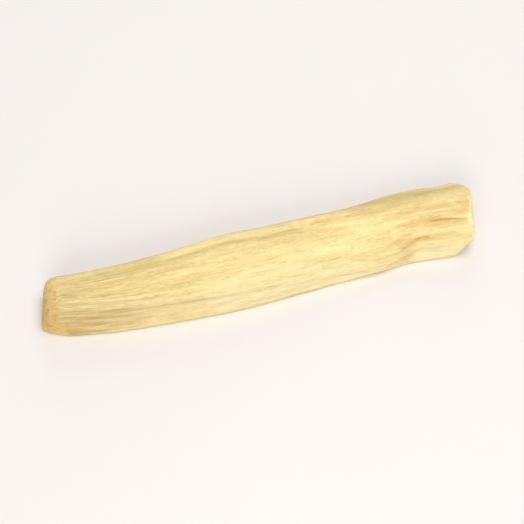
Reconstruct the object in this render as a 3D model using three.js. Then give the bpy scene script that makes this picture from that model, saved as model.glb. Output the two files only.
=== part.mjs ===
// One palo santo stick: a length of pale wood, split along the grain and sawn across at both ends.
// Units are millimetres. X runs along the grain, Y across the stick and Z up. Near means the -Y side, far the +Y
// side, left the -X end and right the +X end. The stick lies on its flat underside, and the origin is in the plane
// of that underside, below the centre of the stick's box.
import * as THREE from "three";

const { lerp, smoothstep } = THREE.MathUtils;

// Driving dimension: the length along the middle, to which the leaning ends add about 1 mm
const LENGTH = 102;
const RIGHT = LENGTH / 2;
const LEFT = -RIGHT;

// The long edges of the split faces, each as points [x, y, z] in order along the grain. The section is the
// five-sided outline through these edges.
const NEAR_FOOT = [
  [-51, -4.3, 0],
  [-44, -5.9, 0],
  [-34, -7.4, 0],
  [-12, -8.8, 0],
  [2, -8.6, 0],
  [17, -7.7, 0],
  [31, -6.9, 0],
  [41, -7.3, 0],
  [51, -8.6, 0],
];
const NEAR_ARRIS = [
  [-51, -2.2, 9.1],
  [-46, -3.1, 9.1],
  [-31, -5.9, 8.8],
  [-14, -7.3, 8.0],
  [-2, -7.9, 7.2],
  [8, -7.6, 6.0],
  [16, -7.5, 4.6],
  [27, -8.1, 3.0],
  [32, -6.7, 3.9],
  [36, -5.9, 5.1],
  [41, -6.9, 5.8],
  [51, -8.0, 6.0],
];
const FAR_ARRIS = [
  [-51, 5.4, 9.6],
  [-36, 4.5, 9.6],
  [-20, 4.9, 9.9],
  [-7, 6.1, 10.0],
  [3, 5.5, 10.0],
  [13, 5.9, 9.8],
  [26, 5.3, 9.2],
  [37, 4.6, 8.9],
  [51, 3.7, 8.7],
];
const FAR_SHOULDER = [
  [-51, 6.3, 7.6],
  [-36, 5.7, 7.6],
  [-20, 6.2, 7.6],
  [-7, 7.5, 7.6],
  [13, 7.3, 7.4],
  [22, 7.9, 6.8],
  [28, 8.8, 6.6],
  [33, 9.2, 6.5],
  [39, 9.2, 6.5],
  [45.5, 8.5, 6.5],
  [48.5, 8.9, 6.5],
  [51, 8.9, 6.5],
];
const FAR_FOOT = [
  [-51, 6.6, 0],
  [-28, 6.0, 0],
  [-7, 7.2, 0],
  [13, 7.4, 0],
  [39, 8.6, 0],
  [51, 8.2, 0],
];

// Moves the stick across so that its box is centred on the origin
const CENTRING_SHIFT = -0.2;

// How far each long edge is worn round, measured back from the edge along both of its faces, and the largest
// share of a face that one rounding may take
const FOOT_ROUND = 0.8;
const ARRIS_ROUND = 1.3;
const ROUND_SHARE = 0.42;

const EDGES = [
  { line: NEAR_FOOT, round: FOOT_ROUND },
  { line: NEAR_ARRIS, round: ARRIS_ROUND },
  { line: FAR_ARRIS, round: ARRIS_ROUND },
  { line: FAR_SHOULDER, round: ARRIS_ROUND },
  { line: FAR_FOOT, round: FOOT_ROUND },
];

// The crack by the right end, on the top face. Places across a face go from 0 at the edge where the face starts to
// 1 where it ends, going up the near side, over the top and down the far side.
const CRACK = { across: 0.51, halfWidth: 0.02, from: 38, to: 50, runOut: 4.5, depth: 0.6 };

// Places that part a stretch of a face into equal strips, without the two ends of the stretch
const partedInto = (strips, from, to) =>
  Array.from({ length: strips - 1 }, (_, i) => lerp(from, to, (i + 1) / strips));

// The faces between one long edge and the next, in the same order as the edges, with the places across each that
// carry a line of points. The top face has three lines close together for the crack.
const FACES = [
  { name: "near", columns: partedInto(5, 0, 1) },
  {
    name: "top",
    columns: [
      ...partedInto(7, 0, CRACK.across - CRACK.halfWidth),
      CRACK.across - CRACK.halfWidth,
      CRACK.across,
      CRACK.across + CRACK.halfWidth,
      ...partedInto(6, CRACK.across + CRACK.halfWidth, 1),
    ],
  },
  { name: "bevel", columns: partedInto(3, 0, 1) },
  { name: "far", columns: partedInto(6, 0, 1) },
  { name: "under", columns: partedInto(6, 0, 1) },
];

// Low ridges and hollows that the split left along the grain. A hollow has a negative height.
const RIDGES = [
  { face: "near", across: 0.35, spread: 0.22, from: -40, to: 12, height: -0.15 },
  { face: "near", across: 0.7, spread: 0.16, from: -51, to: -14, height: 0.12 },
  { face: "top", across: 0.16, spread: 0.09, from: -49, to: 6, height: 0.14 },
  { face: "top", across: 0.3, spread: 0.08, from: -16, to: 34, height: -0.16 },
  { face: "top", across: 0.6, spread: 0.09, from: -51, to: -2, height: 0.12 },
  { face: "top", across: 0.68, spread: 0.07, from: 10, to: 51, height: 0.2 },
  { face: "top", across: 0.86, spread: 0.06, from: -4, to: 44, height: -0.14 },
  { face: "far", across: 0.35, spread: 0.25, from: -20, to: 34, height: 0.3 },
];

// Flat-bottomed troughs where a splinter came away, between two places across a face. One that runs past an end
// of the stick is open there.
const TORN = [
  { face: "far", low: 0.42, high: 0.8, from: -60, to: 0, depth: 0.6 },
  { face: "far", low: 0.2, high: 0.62, from: 20, to: 60, depth: 0.45 },
];

// How wide the change is at a trough's sides, as a share of the face, and at the run-out of a ridge or trough
const TORN_SIDE = 0.14;
const RUN_OUT = 9;

// Each sawn end as a leaning plane x = at + perY * y + perZ * z, with the planes of the corners broken off it
const LEFT_END = [
  { at: -51.4, perY: 0.26, perZ: 0.12 },
  { at: -58.2, perY: 0, perZ: 1.2 },
  { at: -56.2, perY: -1.75, perZ: 0.3 },
];
const RIGHT_END = [
  { at: 50.9, perY: 0.22, perZ: -0.03 },
  { at: 58.3, perY: -1.1, perZ: 0 },
  { at: 53.9, perY: 1.2, perZ: 0.72 },
];
const BREAK_SOFTNESS = 1.2;

// The rounding between the long faces and a sawn end: how far in from the end each ring lies, and how far it is
// drawn in from the full section, with the outermost ring first
const END_ROUND = [
  { back: 0, inset: 0.8 },
  { back: 0.3, inset: 0.34 },
  { back: 1, inset: 0 },
];

// How finely the surface is parted: lengths along the stick, strips round each long edge, and steps from the rim
// of a sawn end to its middle
const LENGTHS = 56;
const CORNER_STRIPS = 3;
const CAP_STEPS = 4;

// Rounds it takes for a point to settle on both the leaning ends and the section there
const SETTLING_ROUNDS = 3;

// A smooth curve through an edge's points, read at a place x along the grain
function edgeAt(line, x) {
  let i = 0;
  while (i < line.length - 2 && x > line[i + 1][0]) i += 1;
  const slope = (k, axis) => {
    const before = line[Math.max(k - 1, 0)];
    const after = line[Math.min(k + 1, line.length - 1)];
    return (after[axis] - before[axis]) / (after[0] - before[0]);
  };
  const [from, to] = [line[i], line[i + 1]];
  const span = to[0] - from[0];
  const t = (x - from[0]) / span;
  const blend = (axis) =>
    from[axis] * (1 + 2 * t) * (1 - t) ** 2 +
    slope(i, axis) * span * t * (1 - t) ** 2 +
    to[axis] * t * t * (3 - 2 * t) +
    slope(i + 1, axis) * span * t * t * (t - 1);
  return new THREE.Vector2(blend(1), blend(2));
}

// 0 outside two values and 1 between them, with a smooth change of the given width inside each
const between = (value, from, to, width) =>
  smoothstep(value, from, from + width) * (1 - smoothstep(value, to - width, to));

// How far the face stands out or in at a place, from the ridges, the troughs and the crack
function reliefAt(face, across, x) {
  let height = 0;
  for (const ridge of RIDGES.filter((r) => r.face === face)) {
    const hump = Math.exp(-(((across - ridge.across) / ridge.spread) ** 2));
    height += ridge.height * hump * between(x, ridge.from, ridge.to, RUN_OUT);
  }
  for (const torn of TORN.filter((t) => t.face === face)) {
    const trough = between(across, torn.low, torn.high, TORN_SIDE);
    height -= torn.depth * trough * between(x, torn.from, torn.to, RUN_OUT);
  }
  if (face === "top" && across === CRACK.across)
    height -= CRACK.depth * between(x, CRACK.from, CRACK.to, CRACK.runOut);
  return height;
}

// The section's outline at a place x: rounded corners joined by faces, always with the same number of points
function sectionAt(x) {
  const corners = EDGES.map((edge) => edgeAt(edge.line, x));
  const towards = (from, to, distance) => {
    const along = to.clone().sub(from);
    return along.setLength(Math.min(distance, ROUND_SHARE * along.length())).add(from);
  };
  const outline = [];
  EDGES.forEach((edge, k) => {
    const next = (k + 1) % EDGES.length;
    const corner = corners[k];
    const start = towards(corner, corners[(k + EDGES.length - 1) % EDGES.length], edge.round);
    const end = towards(corner, corners[next], edge.round);
    for (let i = 0; i <= CORNER_STRIPS; i += 1) {
      const t = i / CORNER_STRIPS;
      outline.push(start.clone().lerp(corner, t).lerp(corner.clone().lerp(end, t), t));
    }
    const faceEnd = towards(corners[next], corner, EDGES[next].round);
    const up = faceEnd.clone().sub(end).normalize();
    const outward = new THREE.Vector2(-up.y, up.x);
    for (const across of FACES[k].columns) {
      const height = reliefAt(FACES[k].name, across, x);
      outline.push(end.clone().lerp(faceEnd, across).addScaledVector(outward, height));
    }
  });
  return outline;
}

// The lower (side -1) or higher (side 1) of two values, with a soft change from one to the other
const softPick = (a, b, side) => 0.5 * (a + b + side * Math.hypot(a - b, BREAK_SOFTNESS));

// Where a sawn end lies along the grain, at a point of the section
function endAt(planes, side, point) {
  const places = planes.map((plane) => plane.at + plane.perY * point.x + plane.perZ * point.y);
  return places.reduce((a, b) => softPick(a, b, side));
}

// One ring of points round the stick. Share goes from 0 at the left end to 1 at the right end, shift moves the ring
// along the grain, and inset draws it in from the full section.
function ringAt(share, shift, inset) {
  const nominal = sectionAt(lerp(LEFT, RIGHT, share));
  const middle = new THREE.Vector2();
  for (const p of nominal) middle.addScaledVector(p, 1 / nominal.length);
  const drawnIn = (point) => point.add(middle.clone().sub(point).setLength(inset));
  return nominal.map((rough, i) => {
    let point = drawnIn(rough);
    let x = 0;
    for (let round = 0; round < SETTLING_ROUNDS; round += 1) {
      x = lerp(endAt(LEFT_END, 1, point), endAt(RIGHT_END, -1, point), share) + shift;
      point = drawnIn(sectionAt(x)[i]);
    }
    return new THREE.Vector3(x, point.x, point.y);
  });
}

// Smaller and smaller rings over a sawn end, and the point in their middle
function capOf(ring, planes, side) {
  const middle = new THREE.Vector2();
  for (const p of ring) middle.addScaledVector(new THREE.Vector2(p.y, p.z), 1 / ring.length);
  const onEnd = (point) => new THREE.Vector3(endAt(planes, side, point), point.x, point.y);
  const inner = [];
  for (let k = 1; k < CAP_STEPS; k += 1)
    inner.push(ring.map((p) => onEnd(new THREE.Vector2(p.y, p.z).lerp(middle, k / CAP_STEPS))));
  return { middle: onEnd(middle), inner };
}

// The skin of the stick: rings along it, closed at each sawn end by a cap
function stickGeometry() {
  const rings = [];
  for (const { back, inset } of END_ROUND) rings.push(ringAt(0, back, inset));
  for (let i = 1; i < LENGTHS; i += 1) rings.push(ringAt(i / LENGTHS, 0, 0));
  for (const { back, inset } of [...END_ROUND].reverse()) rings.push(ringAt(1, -back, inset));

  const leftCap = capOf(rings[0], LEFT_END, 1);
  const rightCap = capOf(rings[rings.length - 1], RIGHT_END, -1);
  const all = [...[...leftCap.inner].reverse(), ...rings, ...rightCap.inner];

  const count = rings[0].length;
  const positions = all.flat().flatMap((p) => p.toArray());
  const leftMiddle = all.length * count;
  positions.push(...leftCap.middle.toArray(), ...rightCap.middle.toArray());
  const index = [];
  for (let r = 0; r < all.length - 1; r += 1)
    for (let i = 0; i < count; i += 1) {
      const j = (i + 1) % count;
      const [a, b, c, d] = [r * count + i, r * count + j, (r + 1) * count + i, (r + 1) * count + j];
      index.push(a, c, b, b, c, d);
    }
  const last = (all.length - 1) * count;
  for (let i = 0; i < count; i += 1) {
    const j = (i + 1) % count;
    index.push(leftMiddle, i, j);
    index.push(leftMiddle + 1, last + j, last + i);
  }
  const geometry = new THREE.BufferGeometry();
  geometry.setAttribute("position", new THREE.Float32BufferAttribute(positions, 3));
  geometry.setIndex(index);
  geometry.translate(0, CENTRING_SHIFT, 0);
  geometry.computeVertexNormals();
  return geometry;
}

const wood = new THREE.MeshStandardMaterial({ color: 0xe9d39c, roughness: 0.72, metalness: 0 });

const stick = new THREE.Mesh(stickGeometry(), wood);
stick.name = "stick";

const group = new THREE.Group();
group.add(stick);

export default group;
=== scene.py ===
# A short split stick of pale palo santo wood, sawn across at both ends, lying on a pale floor.
# Shapes are worked out in millimetres, and the meshes are written in metres. X runs along the grain, Y across
# the stick and Z up. Near means the -Y side, far the +Y side, left the -X end and right the +X end.
import math

import bpy
import numpy as np
from mathutils import Matrix, Vector


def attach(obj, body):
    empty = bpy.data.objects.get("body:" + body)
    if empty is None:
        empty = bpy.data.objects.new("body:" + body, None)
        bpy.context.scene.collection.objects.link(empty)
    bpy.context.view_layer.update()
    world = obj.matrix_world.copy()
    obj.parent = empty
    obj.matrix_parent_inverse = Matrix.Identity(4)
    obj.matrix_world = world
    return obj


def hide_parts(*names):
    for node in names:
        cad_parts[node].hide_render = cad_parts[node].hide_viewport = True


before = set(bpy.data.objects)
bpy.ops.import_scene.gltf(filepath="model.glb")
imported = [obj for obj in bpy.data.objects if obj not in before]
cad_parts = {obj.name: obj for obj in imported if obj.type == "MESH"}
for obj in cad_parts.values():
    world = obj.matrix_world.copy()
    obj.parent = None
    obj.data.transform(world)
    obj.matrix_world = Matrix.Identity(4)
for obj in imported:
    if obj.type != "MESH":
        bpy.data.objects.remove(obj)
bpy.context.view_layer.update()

MM = 0.001
CENTIMETRE = 0.01

# Driving dimension: the length along the middle, to which the leaning ends add about 1 mm
LENGTH = 102.0
RIGHT = LENGTH / 2
LEFT = -RIGHT

# The long edges of the split faces, each as points (x, y, z) in order along the grain
NEAR_FOOT = [
    (-51, -4.3, 0), (-44, -5.9, 0), (-34, -7.4, 0), (-12, -8.8, 0), (2, -8.6, 0),
    (17, -7.7, 0), (31, -6.9, 0), (41, -7.3, 0), (51, -8.6, 0),
]
NEAR_ARRIS = [
    (-51, -2.2, 9.1), (-46, -3.1, 9.1), (-31, -5.9, 8.8), (-14, -7.3, 8.0), (-2, -7.9, 7.2),
    (8, -7.6, 6.0), (16, -7.5, 4.6), (27, -8.1, 3.0), (32, -6.7, 3.9), (36, -5.9, 5.1),
    (41, -6.9, 5.8), (51, -8.0, 6.0),
]
FAR_ARRIS = [
    (-51, 5.4, 9.6), (-36, 4.5, 9.6), (-20, 4.9, 9.9), (-7, 6.1, 10.0), (3, 5.5, 10.0),
    (13, 5.9, 9.8), (26, 5.3, 9.2), (37, 4.6, 8.9), (51, 3.7, 8.7),
]
FAR_SHOULDER = [
    (-51, 6.3, 7.6), (-36, 5.7, 7.6), (-20, 6.2, 7.6), (-7, 7.5, 7.6), (13, 7.3, 7.4),
    (22, 7.9, 6.8), (28, 8.8, 6.6), (33, 9.2, 6.5), (39, 9.2, 6.5), (45.5, 8.5, 6.5),
    (48.5, 8.9, 6.5), (51, 8.9, 6.5),
]
FAR_FOOT = [
    (-51, 6.6, 0), (-28, 6.0, 0), (-7, 7.2, 0), (13, 7.4, 0), (39, 8.6, 0),
    (51, 8.2, 0),
]

# Moves the stick across so that its box is centred on the origin
CENTRING_SHIFT = -0.2

# How far each long edge is worn round, how rubbed and pale it looks, a paleness that is partly a painted
# highlight along the edge, and the largest share of a face that one rounding may take
EDGES = [
    {"line": NEAR_FOOT, "round": 0.8, "worn": 0.5},
    {"line": NEAR_ARRIS, "round": 1.1, "worn": 0.45},
    {"line": FAR_ARRIS, "round": 1.3, "worn": 0.35},
    {"line": FAR_SHOULDER, "round": 1.3, "worn": 0.5},
    {"line": FAR_FOOT, "round": 0.8, "worn": 0.4},
]
ROUND_SHARE = 0.42

# The faces between one long edge and the next, and the strips that each is parted into
FACE_NAMES = ["near", "top", "bevel", "far", "under"]
FACE_STRIPS = {"near": 60, "top": 106, "bevel": 20, "far": 52, "under": 42}
CORNER_STRIPS = 8

# The crack by the right end, on the top face. The narrowest is the share of its width that is left where it
# runs out.
CRACK = {"across": 0.51, "half_width": 0.014, "from": 37, "to": 50, "run_out": 5, "depth": 0.24}
CRACK_NARROWEST = 0.4

# How the crack leaves a straight line: waves, each with its share, rate and start, how far they reach, how it
# slants, how far across the face the lines of points follow it, and from where along the grain
CRACK_SWAY = [(1, 0.9, 0), (0.6, 2.1, 1)]
CRACK_WANDER = 0.008
CRACK_SLANT = -0.005
FOLLOWING_REACH = 0.1
FOLLOWING_FROM = (28, 38)

# How closely the strips crowd towards the crack, and how the fine texture is held back by it
CRACK_CROWDING = 0.035
CROWDING_SHARE = 0.9
CROWDING_REACH = 0.12
CRACK_CALM = 0.9
CALM_SPREAD = 1.3
CALM_LENGTH = 2

# Low ridges and hollows that the split left along the grain: the face, the place across it, how far they
# spread, where they start and end along the grain, and the height
RIDGES = [
    ("near", 0.35, 0.22, -40, 12, -0.15),
    ("near", 0.7, 0.16, -51, -14, 0.12),
    ("top", 0.16, 0.09, -49, 6, 0.14),
    ("top", 0.3, 0.08, -16, 34, -0.16),
    ("top", 0.6, 0.09, -51, -2, 0.12),
    ("top", 0.68, 0.07, 10, 51, 0.2),
    ("top", 0.86, 0.06, -4, 44, -0.08),
    ("far", 0.35, 0.25, -20, 34, 0.3),
]

# Flat-bottomed troughs where a splinter came away: the face, the two sides across it, where they start and
# end along the grain, and the depth
TORN = [
    ("far", 0.42, 0.8, -60, 0, 0.6),
    ("far", 0.2, 0.62, 20, 60, 0.45),
]
TORN_SIDE = 0.14

# Over how many millimetres ridges and troughs run out, and how ridges fade at the borders of a face
RUN_OUT = 9
FACE_FADE = (-0.02, 1.02, 0.1)

# Short dents across the grain on the top face, by the chipped stretch of the near arris: x, the place across
# the face, the spread and the depth
DENTS = [
    (26.4, 0.12, 0.1, 0.12),
    (27.8, 0.2, 0.13, 0.16),
    (29.3, 0.16, 0.1, 0.14),
    (30.7, 0.24, 0.08, 0.1),
]
DENT_LENGTH = 0.45
DENT_SLANT = 4

# Each sawn end as leaning planes x = at + per_y * y + per_z * z: the cut itself and the corners broken off
LEFT_END = [(-51.4, 0.26, 0.12), (-58.2, 0, 1.2), (-56.2, -1.75, 0.3)]
RIGHT_END = [(50.9, 0.22, -0.03), (58.3, -1.1, 0), (53.9, 1.2, 0.72)]
BREAK_SOFTNESS = 1.2

# The rounding between the long faces and a sawn end, and how sawn it looks where it meets the end
END_WEAR = 1.0
END_INSET = 0.8
END_POWER = 2.4
END_RINGS = [0, 0.05, 0.11, 0.19, 0.29, 0.42, 0.58, 0.78, 1.0]
RIM_SAWN = 0.85

# The even width that the grain is drawn on, and the degree of the curves that its two sides follow
GRAIN_WIDTH = 14
GRAIN_BEND = 4
GRAIN_SAMPLES = 60

# How finely the skin is parted along the grain, and from the rim of a sawn end to its middle, and how often
# the rings are drawn again to settle on the leaning ends
LENGTHS = 208
CAP_STEPS = 36
SETTLING_ROUNDS = 4

# How much closer the rings of points lie past the chip and by the ends, and where, as shares of the length
CHIP_CROWDING = 0.8
CHIP_AT = (0.7, 0.78)
END_CROWDING = 1.2
END_REACH = 0.03
RIM_CLEARANCE = 1.3
RING_SAMPLES = 2000

# Random heights on the split faces in millimetres, with their cells along x, y and z
NOISE_CELLS = 48
SPLIT_TEXTURE = [
    {"height": 0.1, "cell": (24, 8, 8), "seed": 11},
    {"height": 0.045, "cell": (24, 1.6, 1.6), "seed": 12},
    {"height": 0.035, "cell": (7, 0.8, 0.8), "seed": 13},
    {"height": 0.018, "cell": (3.5, 0.5, 0.5), "seed": 14},
]
GROOVES = [
    {"depth": 0.07, "cell": (30, 1.9, 1.9), "narrow": 5, "seed": 16},
    {"depth": 0.06, "cell": (17, 0.9, 0.9), "narrow": 3, "seed": 17},
]
GROOVE_BREAKS = {"cell": (4.5, 1.3, 1.3), "seed": 18}
LEDGES = {"height": 0.08, "cell": (38, 2.4, 2.4), "step": 0.34, "riser": 0.14, "level": 0.6, "seed": 21}
NICKS = {"depth": 0.12, "cell": (9, 1.3, 1.3), "low": 0.3, "high": 0.8, "seed": 22}
TORN_TEXTURE = {"height": 0.12, "cell": (7, 0.6, 0.6), "seed": 23}

# Random heights on the sawn ends, how far they reach past the rims, and how rubbed the rims look
END_TEXTURE = [
    {"height": 0.07, "cell": (40, 1.8, 1.8), "seed": 31},
    {"height": 0.04, "cell": (40, 0.6, 0.6), "seed": 32},
]
PITS = {"depth": 0.1, "cell": (40, 0.5, 0.9), "low": 0.4, "high": 0.95, "seed": 33}
SAW_MARKS = {"height": 0.035, "spacing": 0.8, "lean": math.radians(64), "bow": 0.012}
RAGGED_REACH = 1.6
RIM_WEAR = 0.3

# How deep a trough has to be to look fully torn, how far wear spreads from a long edge, the heights that the
# relief mask spans, and how sawn a place is where the tints of the ends begin and finish taking over
FULLY_TORN = 0.4
WORN_SPREAD = 0.05
RELIEF_SPAN = 0.2
ON_END = (0.05, 0.6)

# Where the masks lie, in millimetres: rubbed rims and frayed fibres, as the distance from an end and the
# spread, and splinters, from where to where above the floor and off the ends, with the share on plain wood
RUBBED_AT = (0.3, 0.5)
FRAYED_AT = (0.2, 0.5)
ABOVE_FLOOR = (1.2, 2.4)
OFF_ENDS = (2.5, 5)
PLAIN_SPLINTERS = 0.12


def smoothstep(value, low, high):
    """0 below low and 1 above high, with a smooth change between them."""
    t = np.clip((value - low) / (high - low), 0, 1)
    return t * t * (3 - 2 * t)


def between(value, low, high, width):
    """1 between two values and 0 outside them, with a smooth change of the given width inside each."""
    return smoothstep(value, low, low + width) * (1 - smoothstep(value, high - width, high))


def hump(value, middle, spread):
    """1 at a value, falling off smoothly on both sides of it."""
    return np.exp(-(((value - middle) / spread) ** 2))


def smooth_noise(place, kind):
    """Random heights from -1 to 1 that change smoothly over the cells that a kind of texture gives."""
    random = np.random.default_rng(kind["seed"])
    table = random.uniform(-1, 1, (NOISE_CELLS,) * 3)
    turn = random.uniform(0, math.pi / 2)
    y = place[..., 1] * math.cos(turn) - place[..., 2] * math.sin(turn)
    z = place[..., 1] * math.sin(turn) + place[..., 2] * math.cos(turn)
    scaled = np.stack([place[..., 0], y, z], -1) / np.array(kind["cell"])
    low = np.floor(scaled).astype(int)
    part = scaled - low
    part = part * part * (3 - 2 * part)
    total = 0
    for corner in np.ndindex(2, 2, 2):
        share = np.prod(np.where(corner, part, 1 - part), axis=-1)
        spot = (low + corner) % NOISE_CELLS
        total = total + share * table[spot[..., 0], spot[..., 1], spot[..., 2]]
    return total


def terraced(value, step, riser):
    """Turns a smooth height into flat treads with steep risers between them."""
    level = value / step
    tread = np.floor(level)
    return step * (tread + smoothstep(level - tread, 1 - riser, 1))


def edge_at(line, x):
    """A smooth curve through an edge's points, read at places x along the grain, as y and z."""
    points = np.array(line, float)
    count = len(points)
    before = points[np.maximum(np.arange(count) - 1, 0)]
    after = points[np.minimum(np.arange(count) + 1, count - 1)]
    slopes = (after - before) / (after - before)[:, :1]
    i = np.clip(np.searchsorted(points[:, 0], x, side="left") - 1, 0, count - 2)
    span = (points[i + 1, 0] - points[i, 0])[..., None]
    t = (x - points[i, 0])[..., None] / span
    made = (
        points[i] * (1 + 2 * t) * (1 - t) ** 2
        + slopes[i] * span * t * (1 - t) ** 2
        + points[i + 1] * t * t * (3 - 2 * t)
        + slopes[i + 1] * span * t * t * (t - 1)
    )
    return made[..., 1:]


def face_places(name):
    """Places across a face, from 0 to 1, for its lines of points. On the top they crowd to the crack."""
    strips = FACE_STRIPS[name]
    even = np.arange(1, strips) / strips
    if name != "top":
        return even
    nearest = CRACK["across"]
    pull = CRACK_CROWDING * (even - nearest) / (np.abs(even - nearest) + CRACK_CROWDING)
    crowded = even - CROWDING_SHARE * pull * hump(even, nearest, CROWDING_REACH)
    crowded[np.abs(crowded - nearest).argmin()] = nearest
    return crowded


def towards(start, end, distance):
    """A point at a distance from start on the way to end, and at most ROUND_SHARE of the way."""
    way = end - start
    length = np.linalg.norm(way, axis=-1, keepdims=True)
    return start + way * np.minimum(distance / length, ROUND_SHARE)


def main_relief(face, across, x):
    """How far a face stands out or in: the ridges, the troughs, the dents and the crack."""
    height = np.zeros(np.broadcast(across, x).shape)
    inside = between(across, *FACE_FADE)
    for own_face, place, spread, start, end, amount in RIDGES:
        if own_face == face:
            ends = between(x, start, end, RUN_OUT)
            height += amount * hump(across, place, spread) * ends * inside
    height -= torn_depth(face, across, x)
    if face == "top":
        for dent_x, place, spread, depth in DENTS:
            reach = hump(across, place, spread)
            height -= depth * reach * hump(x, dent_x + DENT_SLANT * (across - place), DENT_LENGTH)
        height -= crack_depth(across, x)
    return height


def torn_depth(face, across, x):
    """How deep the troughs are at a place on a face."""
    depth = np.zeros(np.broadcast(across, x).shape)
    for own_face, low, high, start, end, full_depth in TORN:
        if own_face == face:
            trough = between(across, low, high, TORN_SIDE)
            depth += full_depth * trough * between(x, start, end, RUN_OUT)
    return depth


def crack_depth(across, x):
    """How deep the crack is at a place on the top face."""
    opening = between(x, CRACK["from"], CRACK["to"], CRACK["run_out"])
    half_width = CRACK["half_width"] * (CRACK_NARROWEST + (1 - CRACK_NARROWEST) * opening)
    groove = np.clip(1 - np.abs(across - CRACK["across"]) / half_width, 0, 1)
    return CRACK["depth"] * opening * groove


def by_crack(across, x):
    """Where the fine texture is held back so that the walls of the crack stay apart, from 0 to 1."""
    opening = between(x, CRACK["from"] - CALM_LENGTH, CRACK["to"] + CALM_LENGTH, CALM_LENGTH)
    return hump(across, CRACK["across"], CALM_SPREAD * CRACK["half_width"]) * opening


def crack_wander(across, x):
    """How far the lines of points by the crack are drawn aside, so that the crack isn't straight."""
    sway = sum(share * np.sin(x * rate + start) for share, rate, start in CRACK_SWAY)
    slant = CRACK_SLANT * (x - (CRACK["from"] + CRACK["to"]) / 2)
    reach = hump(across, CRACK["across"], FOLLOWING_REACH) * smoothstep(x, *FOLLOWING_FROM)
    return (CRACK_WANDER * sway + slant) * reach


def skin_point(x):
    """The section's outline at places x, an array of rows by columns, as y and z for each."""
    corners = [edge_at(edge["line"], x) for edge in EDGES]
    stretches = []
    at = 0
    for k, edge in enumerate(EDGES):
        following = (k + 1) % len(EDGES)
        width = CORNER_STRIPS + 1
        span = slice(at, at + width)
        corner = corners[k][:, span]
        start = towards(corner, corners[k - 1][:, span], edge["round"])
        end = towards(corner, corners[following][:, span], edge["round"])
        t = (np.arange(width) / CORNER_STRIPS)[None, :, None]
        stretches.append(start * (1 - t) ** 2 + 2 * corner * t * (1 - t) + end * t * t)
        at += width

        face = FACE_NAMES[k]
        places = face_places(face)[None, :]
        span = slice(at, at + places.size)
        here, there = corners[k][:, span], corners[following][:, span]
        face_start = towards(here, there, edge["round"])
        face_end = towards(there, here, EDGES[following]["round"])
        along = face_end - face_start
        up = along / np.linalg.norm(along, axis=-1, keepdims=True)
        outward = np.stack([-up[..., 1], up[..., 0]], -1)
        across = places + (crack_wander(places, x[:, span]) if face == "top" else 0)
        height = main_relief(face, places, x[:, span])[..., None]
        stretches.append(face_start + along * across[..., None] + outward * height)
        at += places.size
    return np.concatenate(stretches, 1)


def column_facts():
    """For each line of points round the section: its girth, which goes from 0 to 5 over the five faces in
    turn, and the number of the long edge whose rounding it is part of, or -1."""
    girth, corner = [], []
    for k, name in enumerate(FACE_NAMES):
        girth += [k] * (CORNER_STRIPS + 1)
        corner += [k] * (CORNER_STRIPS + 1)
        places = face_places(name)
        girth += list(k + places)
        corner += [-1] * len(places)
    return np.array(girth, float), np.array(corner)


def soft_pick(a, b, side):
    """The lower (side -1) or higher (side 1) of two values, with a soft change from one to the other."""
    return 0.5 * (a + b + side * np.hypot(a - b, BREAK_SOFTNESS))


def end_at(planes, side, point):
    """Where a sawn end lies along the grain, at points y and z of the section."""
    places = [at + per_y * point[..., 0] + per_z * point[..., 1] for at, per_y, per_z in planes]
    found = places[0]
    for place in places[1:]:
        found = soft_pick(found, place, side)
    return found


def ring_shares():
    """Where the rings lie along the stick, from 0 to 1, closer together past the chip and by the ends."""
    clear_of_rims = RIM_CLEARANCE * END_WEAR / LENGTH
    fine = np.linspace(clear_of_rims, 1 - clear_of_rims, RING_SAMPLES)
    density = 1 + CHIP_CROWDING * smoothstep(fine, *CHIP_AT)
    for end in (0, 1):
        density = density + END_CROWDING * hump(fine, end, END_REACH)
    total = np.cumsum(density)
    total = (total - total[0]) / (total[-1] - total[0])
    return np.interp(np.linspace(0, 1, LENGTHS), total, fine)


def drawn_in(point, inset):
    """Rows of points moved by an inset towards the middle of their row."""
    inward = point.mean(axis=1, keepdims=True) - point
    return point + inward / np.linalg.norm(inward, axis=-1, keepdims=True) * inset[..., None]


def skin_rings():
    """The rings of points from the left rim to the right rim, as rows by columns by x, y and z, with how far
    each row belongs to a sawn end."""
    rim = [(0, back) for back in END_RINGS]
    body = [(share, 0) for share in ring_shares()]
    far_rim = [(1, back) for back in reversed(END_RINGS)]
    share = np.array([row[0] for row in rim + body + far_rim])[:, None]
    back = np.array([row[1] for row in rim + body + far_rim])[:, None]
    shift = back * np.where(share > 0.5, -1, 1)
    is_rim = np.array([True] * len(rim) + [False] * len(body) + [True] * len(far_rim))[:, None]
    inset = np.where(is_rim, END_INSET * (1 - back / END_WEAR) ** END_POWER, 0)

    columns = len(column_facts()[0])
    x = np.repeat(LEFT + (RIGHT - LEFT) * share, columns, axis=1)
    point = drawn_in(skin_point(x), inset)
    for _ in range(SETTLING_ROUNDS):
        ends = end_at(LEFT_END, 1, point), end_at(RIGHT_END, -1, point)
        x = ends[0] * (1 - share) + ends[1] * share + shift
        point = drawn_in(skin_point(x), inset)
    sawn = np.where(is_rim, RIM_SAWN * (1 - back / END_WEAR), 0)
    return np.concatenate([x[..., None], point], -1), sawn


def cap_rings(rim, planes, side):
    """Smaller and smaller rings over a sawn end, from just inside the rim, and the point in their middle."""
    middle = rim[:, 1:].mean(axis=0)
    steps = (np.arange(1, CAP_STEPS) / CAP_STEPS)[:, None, None]
    point = rim[None, :, 1:] * (1 - steps) + middle * steps
    rings = np.concatenate([end_at(planes, side, point)[..., None], point], -1)
    centre = np.concatenate([[end_at(planes, side, middle)], middle])
    return rings, centre


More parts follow.
